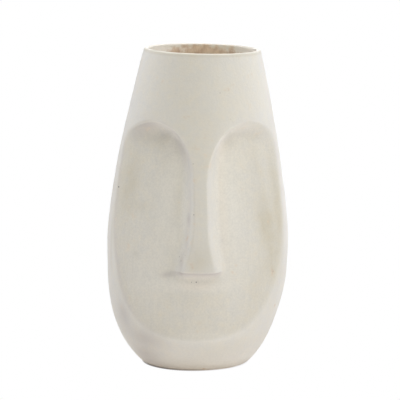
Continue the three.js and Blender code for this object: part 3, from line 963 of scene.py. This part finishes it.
def liner_cup(node, material):
    """Watertight moulded cup with a rolled lip and ribs."""
    low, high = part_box(node)
    middle_x = (low[0] + high[0]) / 2 / METRE
    seat = low[2] / METRE
    lip = (high[0] - low[0]) / 2 / METRE
    height = HEIGHT - CUP_DROP - seat
    under_lip = height - CUP_LIP_HEIGHT
    behind_face = front_inside_radius(np.zeros(1), np.linspace(WALL, shell_top, INSIDE_ROWS)).min()
    neck = min(behind_face, inside_radius(HEIGHT)) - CUP_CLEARANCE
    floor_room = inside_radius(base_strip_bottom) - PASTE - BASE_STRIP_WIDTH
    floor_shift = axis_offset(HEIGHT) - axis_offset(base_strip_bottom)
    tapered = neck - math.tan(math.radians(CUP_TAPER)) * under_lip
    foot = min(tapered, floor_room - floor_shift - CUP_CLEARANCE)
    slope = (neck - foot) / under_lip
    ribs = []
    for z in CUP_RIBS:
        for way, rise in ((-1, 0), (-RIB_FLAT, RIB_RISE), (RIB_FLAT, RIB_RISE), (1, 0)):
            ribs.append((foot + slope * z + rise, z + way * RIB_HEIGHT / 2, RIB_RISE / 3))
    line = rounded_line(
        (0, RIB_RISE, 0),
        (foot - 3 * CUP_FOOT_ROUND, RIB_RISE, RIB_RISE),
        (foot - 2 * CUP_FOOT_ROUND, 0, RIB_RISE),
        (foot, 0, CUP_FOOT_ROUND),
        *ribs,
        (neck, under_lip, CUP_EDGE_ROUND),
        (lip, under_lip, CUP_EDGE_ROUND),
        (lip, height, CUP_EDGE_ROUND),
        (neck - CUP_WALL, height, CUP_EDGE_ROUND),
        (foot - CUP_WALL, CUP_WALL, CUP_FOOT_ROUND),
        (0, CUP_WALL, 0),
    )

    def place(angle, radius, z):
        spread = np.broadcast_arrays(middle_x + radius * np.sin(angle), -radius * np.cos(angle), seat + z)
        return np.stack(spread, -1)

    return turned_piece(node, line, place, material)


# Materials

def new_material(name):
    """An empty node material and its tree."""
    material = bpy.data.materials.new(name)
    material.use_nodes = True
    material.node_tree.nodes.clear()
    return material, material.node_tree


def add(tree, kind, inputs=None, **settings):
    """A new shader node with its settings, its plain inputs and its links."""
    node = tree.nodes.new(f"ShaderNode{kind}")
    for setting, value in settings.items():
        setattr(node, setting, value)
    for socket, value in (inputs or {}).items():
        if isinstance(value, bpy.types.NodeSocket):
            tree.links.new(value, node.inputs[socket])
        else:
            node.inputs[socket].default_value = value
    return node


def object_place(tree):
    """The place on the object, which moves with it."""
    return add(tree, "TexCoord").outputs["Object"]


def mottle(tree, place, size, detail=3, stretch=(1, 1, 1)):
    """Soft random pattern between 0 and 1 with blotches of a size in millimetres, stretched along an axis."""
    scale = tuple(1 / (size * METRE * along) for along in stretch)
    scaled = add(tree, "Mapping", {"Vector": place, "Scale": scale})
    return add(tree, "TexNoise", {"Vector": scaled.outputs[0], "Scale": 1, "Detail": detail}).outputs["Fac"]


def between(tree, value, low, high, to_low=0.0, to_high=1.0):
    """A value spread smoothly from one range to another, and held inside it."""
    inputs = {"Value": value, "From Min": low, "From Max": high, "To Min": to_low, "To Max": to_high}
    return add(tree, "MapRange", inputs, interpolation_type="SMOOTHSTEP").outputs[0]


def reckon(tree, operation, *values):
    """Arithmetic on values."""
    return add(tree, "Math", dict(enumerate(values)), operation=operation).outputs[0]


def weighed(tree, *terms):
    """Sum of (pattern, weight) terms, each counted from the pattern's middle."""
    total = -sum(weight for _, weight in terms) / 2
    for pattern, weight in terms:
        total = reckon(tree, "MULTIPLY_ADD", pattern, weight, total)
    return total


def blended(tree, share, first, second):
    """A colour that passes from the first to the second with a share."""
    node = add(tree, "Mix", data_type="RGBA")
    for socket, value in ((node.inputs[0], share), (node.inputs[6], first), (node.inputs[7], second)):
        if isinstance(value, bpy.types.NodeSocket):
            tree.links.new(value, socket)
        elif isinstance(value, tuple):
            socket.default_value = (*value, 1)
        else:
            socket.default_value = value
    return node.outputs[2]


def toned(tree, colour, change):
    """A colour made lighter or darker by a small change."""
    factor = reckon(tree, "ADD", change, 1)
    return add(tree, "VectorMath", {0: colour, "Scale": factor}, operation="SCALE").outputs[0]


def look(tree, name):
    """The value of a named look on the mesh."""
    return add(tree, "Attribute", attribute_name=name).outputs["Fac"]


def surface(tree, colour, roughness, height, relief, specular):
    """Closes a material with a rough surface, raised by a height pattern as deep as the relief."""
    bump = add(tree, "Bump", {"Height": height, "Strength": 1, "Distance": relief * METRE})
    shader = add(tree, "BsdfPrincipled", {
        "Base Color": colour,
        "Roughness": roughness,
        "Normal": bump.outputs[0],
        "Specular IOR Level": specular,
    })
    output = add(tree, "OutputMaterial")
    tree.links.new(shader.outputs[0], output.inputs[0])


def bare_paper(tree, place):
    """Colour and height of bare pasted paper: overlapping torn scraps, fibres and glue stains."""
    warp = add(tree, "TexNoise", {"Vector": place, "Scale": SCRAP_WARP_SCALE, "Detail": 2}).outputs["Color"]
    bent = add(tree, "VectorMath", {0: warp, "Scale": SCRAP_WARP * METRE}, operation="SCALE").outputs[0]
    torn_place = add(tree, "VectorMath", {0: place, 1: bent}).outputs[0]
    scraps = add(tree, "TexVoronoi", {"Vector": torn_place, "Scale": 1 / (SCRAP_SIZE * METRE)})
    scrap = add(tree, "SeparateColor", {0: scraps.outputs["Color"]}).outputs[0]
    stains = between(tree, mottle(tree, place, PAPER_STAIN, 4), 0.4, 0.72)
    fibres = mottle(tree, place, PAPER_FIBRE, 3, stretch=(1, 1, PAPER_FIBRE_STRETCH))
    colour = blended(tree, scrap, PAPER_PALE, PAPER_TAN)
    colour = blended(tree, stains, colour, PAPER_BROWN)
    colour = toned(tree, colour, weighed(tree, (fibres, 0.25)))
    height = weighed(tree, (scrap, 0.6), (fibres, 0.5))
    return colour, height


def pinhole_shade(tree, place):
    """Darkness of the pinholes: a small dark spot at each of their places."""
    shade = 0.0
    for direction, height, width, darkness in PINHOLES:
        angle = np.radians(direction)
        radius = front_radius(angle, height)
        uneven = lumps(pot_point(angle, radius, height)) - PINHOLE_DEPTH * darkness / 2
        middle = tuple(pot_point(angle, radius + uneven, height) * METRE)
        away = add(tree, "VectorMath", {0: place, 1: middle}, operation="DISTANCE").outputs["Value"]
        core = PINHOLE_CORE * width * METRE
        rim = PINHOLE_RIM * width * METRE
        spot = between(tree, away, core, rim, darkness, 0.0)
        shade = reckon(tree, "MAXIMUM", spot, shade)
    return shade


def chalk_coat():
    """Chalky wash brushed over paper: clouds, brush marks, a tan wash in the hollows, pale worn edges,
    painted light and highlights, painted shade and a painted shadow along the foot.
    """
    material, tree = new_material("chalk_coat")
    place = object_place(tree)
    clouds = mottle(tree, place, COAT_CLOUD, 2)
    patches = mottle(tree, place, COAT_PATCH, 4)
    blots = mottle(tree, place, COAT_BLOT, 3)
    strokes = mottle(tree, place, COAT_STROKE, 3, stretch=(1, 1, STROKE_STRETCH))
    grain = mottle(tree, place, COAT_GRAIN, 2)
    hollow = look(tree, "hollow")
    warmth = weighed(tree, (clouds, 0.8), (patches, 1.0), (blots, 1.0))
    colour = blended(tree, between(tree, warmth, -0.35, 0.35), CHALK_COOL, CHALK_WARM)
    # Painted light: paler coat in patches where more light falls
    colour = blended(tree, look(tree, "painted_light"), colour, CHALK_PAINTED_LIGHT)
    # Painted highlights on the face, and a paler cream coat inside the mouth that is partly its own colour
    # and partly painted light
    colour = blended(tree, look(tree, "cream_and_painted_light"), colour, CREAM_AND_PAINTED_LIGHT)
    gathered = reckon(tree, "MULTIPLY", between(tree, patches, 0.3, 0.65, 0.7, 1.0),
                      between(tree, blots, 0.3, 0.7, 0.85, 1.0))
    colour = blended(tree, reckon(tree, "MULTIPLY", look(tree, "wash"), gathered), colour, CHALK_TAN)
    # Painted shade: darker coat under the left brow and the nose, in the left crease and low on the left
    colour = blended(tree, look(tree, "shade"), colour, CHALK_PAINTED_SHADE)
    rubbed = between(tree, patches, 0.45, 0.65, 0.1, 0.8)
    colour = blended(tree, reckon(tree, "MULTIPLY", look(tree, "wear"), rubbed), colour, CHALK_WORN)
    mottling = weighed(tree, (patches, 0.08), (blots, 0.06), (grain, 0.14), (strokes, 0.06))
    stronger = reckon(tree, "MULTIPLY_ADD", hollow, 0.6, 0.6)
    colour = toned(tree, colour, reckon(tree, "MULTIPLY", mottling, stronger))
    paper, paper_height = bare_paper(tree, place)
    ragged = reckon(tree, "ADD", look(tree, "bare"), weighed(tree, (patches, 1.6), (blots, 1.2)))
    uncoated = between(tree, ragged, 0.25, 0.9)
    colour = blended(tree, uncoated, colour, paper)
    # Painted contact shadow along the foot's edge, darker on the left
    colour = blended(tree, look(tree, "foot_shadow"), colour, FOOT_SHADOW)
    holes = pinhole_shade(tree, place)
    colour = blended(tree, holes, colour, PINHOLE_DARK)
    height = weighed(tree, (patches, 0.8), (strokes, 0.25), (blots, 0.3), (grain, 0.35))
    height = reckon(tree, "MULTIPLY_ADD", uncoated, paper_height, height)
    roughness = between(tree, patches, 0.2, 0.8, 0.84, 0.97)
    surface(tree, colour, roughness, height, COAT_RELIEF, specular=0.3)
    return material


def bare_mache():
    """Bare pasted paper without a coat."""
    material, tree = new_material("bare_mache")
    colour, height = bare_paper(tree, object_place(tree))
    roughness = between(tree, height, -0.3, 0.3, 0.82, 0.95)
    surface(tree, colour, roughness, height, PAPER_RELIEF, specular=0.3)
    return material


def pressed_board():
    """Brown pressed fibre board: short fibres lying flat, with pale and dark flecks."""
    material, tree = new_material("pressed_board")
    place = object_place(tree)
    clouds = mottle(tree, place, BOARD_CLOUD, 3)
    fibres = mottle(tree, place, BOARD_FIBRE, 4, stretch=(BOARD_FIBRE_STRETCH, 1, 1))
    crossed = mottle(tree, place, BOARD_FIBRE, 4, stretch=(1, BOARD_FIBRE_STRETCH, 1))
    flecks = between(tree, mottle(tree, place, BOARD_FLECK, 1), 0.62, 0.7)
    colour = blended(tree, between(tree, clouds, 0.35, 0.65), BOARD_DARK, BOARD_PALE)
    colour = toned(tree, colour, weighed(tree, (fibres, 0.7), (crossed, 0.7)))
    colour = blended(tree, reckon(tree, "MULTIPLY", flecks, 0.5), colour, PAPER_TAN)
    roughness = between(tree, fibres, 0.2, 0.8, 0.85, 0.97)
    surface(tree, colour, roughness, fibres, BOARD_RELIEF, specular=0.25)
    return material


def liner_plastic():
    """Pale satin plastic with a fine moulded grain and dull scuffs."""
    material, tree = new_material("liner_plastic")
    place = object_place(tree)
    grain = mottle(tree, place, PLASTIC_GRAIN, 2)
    clouds = mottle(tree, place, PLASTIC_CLOUD, 3)
    streaks = mottle(tree, place, PLASTIC_SCUFF, 3, stretch=(SCUFF_STRETCH, SCUFF_STRETCH, 1))
    scuffs = between(tree, streaks, 0.62, 0.8)
    colour = blended(tree, reckon(tree, "MULTIPLY", scuffs, 0.6), PLASTIC_PALE, PLASTIC_SCUFFED)
    colour = toned(tree, colour, weighed(tree, (clouds, 0.12), (grain, 0.08)))
    dulled = reckon(tree, "MULTIPLY", scuffs, 0.2)
    roughness = reckon(tree, "ADD", between(tree, clouds, 0.3, 0.7, 0.4, 0.55), dulled)
    surface(tree, colour, roughness, grain, PLASTIC_RELIEF, specular=0.5)
    return material


# Studio

def make_camera():
    """The photograph's view: from the front, a little above, from a distance."""
    elevation = math.radians(CAMERA_ELEVATION)
    aim = HEIGHT * METRE / 2
    data = bpy.data.cameras.new("camera")
    data.sensor_width = SENSOR_WIDTH
    data.lens = LENS
    data.shift_x, data.shift_y = CAMERA_SHIFT
    camera = bpy.data.objects.new("camera", data)
    camera.location = (0, -CAMERA_DISTANCE * math.cos(elevation), aim + CAMERA_DISTANCE * math.sin(elevation))
    camera.rotation_euler = (math.pi / 2 - elevation, 0, 0)
    bpy.context.scene.collection.objects.link(camera)
    bpy.context.scene.camera = camera


def soft_box(name, azimuth, elevation, watts, tint):
    """A square soft light that faces the middle of the pot. Azimuth 0 is in front, 90 is on the right."""
    across, up = math.radians(azimuth), math.radians(elevation)
    away = Vector((math.sin(across) * math.cos(up), -math.cos(across) * math.cos(up), math.sin(up)))
    data = bpy.data.lights.new(name, "AREA")
    data.size = BOX_SIZE
    data.energy = watts
    data.color = tint
    box = bpy.data.objects.new(name, data)
    box.location = Vector((0, 0, HEIGHT * METRE / 2)) + away * BOX_DISTANCE
    box.rotation_euler = (-away).to_track_quat("-Z", "Y").to_euler()
    box.visible_camera = False
    bpy.context.scene.collection.objects.link(box)


def pale_floor():
    """A wide plain floor that shows white, with a thin shade where the foot meets it, mostly on the left."""
    material, tree = new_material("pale_floor")
    sight = add(tree, "LightPath").outputs["Is Camera Ray"]
    nearness = add(tree, "AmbientOcclusion", {"Distance": FLOOR_SHADE_REACH}, samples=FLOOR_SHADE_SAMPLES)
    covered = reckon(tree, "SUBTRACT", 1, nearness.outputs["AO"])
    across = add(tree, "SeparateXYZ", {0: object_place(tree)}).outputs[0]
    leftward = between(tree, across, *FLOOR_SHADE_TURN, 1, FLOOR_SHADE_RIGHT)
    shade = blended(tree, reckon(tree, "MULTIPLY", covered, leftward), (1, 1, 1), FLOOR_SHADE)
    diffuse = add(tree, "BsdfDiffuse", {"Color": (FLOOR_WHITE, FLOOR_WHITE, FLOOR_WHITE, 1)})
    glow = add(tree, "Emission", {"Color": (*FLOOR_GLOW, 1)})
    lit = add(tree, "AddShader", {0: diffuse.outputs[0], 1: glow.outputs[0]})
    shown = add(tree, "Emission", {"Color": shade})
    mixed = add(tree, "MixShader", {0: sight, 1: lit.outputs[0], 2: shown.outputs[0]})
    output = add(tree, "OutputMaterial")
    tree.links.new(mixed.outputs[0], output.inputs[0])
    mesh = bpy.data.meshes.new("floor")
    half = FLOOR_SIZE / 2
    corners = [(-half, -half, 0), (half, -half, 0), (half, half, 0), (-half, half, 0)]
    mesh.from_pydata(corners, [], [(0, 1, 2, 3)])
    mesh.materials.append(material)
    floor = bpy.data.objects.new("floor", mesh)
    bpy.context.scene.collection.objects.link(floor)


def white_surround():
    """A background that shows white and adds no light of its own."""
    world = bpy.data.worlds.new("surround")
    world.use_nodes = True
    tree = world.node_tree
    sight = add(tree, "LightPath").outputs["Is Camera Ray"]
    tree.links.new(sight, tree.nodes["Background"].inputs["Strength"])
    tree.nodes["Background"].inputs["Color"].default_value = (1, 1, 1, 1)
    bpy.context.scene.world = world


make_camera()
for light in SOFT_BOXES:
    soft_box(*light)
pale_floor()
white_surround()
bpy.context.scene.view_settings.view_transform = "Standard"

materials = {make.__name__: make() for make in (chalk_coat, bare_mache, pressed_board, liner_plastic)}
slots = {part["node"]: part["material_slot"] for part in frame["record"]["subparts"]}
bodies = {node: body for body, nodes in frame["record"]["behaviour"]["bodies"].items() for node in nodes}
for make in (front_shell, rear_shell, rim_cord, seam_strip_left, seam_strip_right,
             base_board, base_strip, liner_cup):
    replaced = make.__name__
    piece = make(replaced, materials[slots[replaced]])
    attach(piece, bodies[replaced])
    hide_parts(replaced)
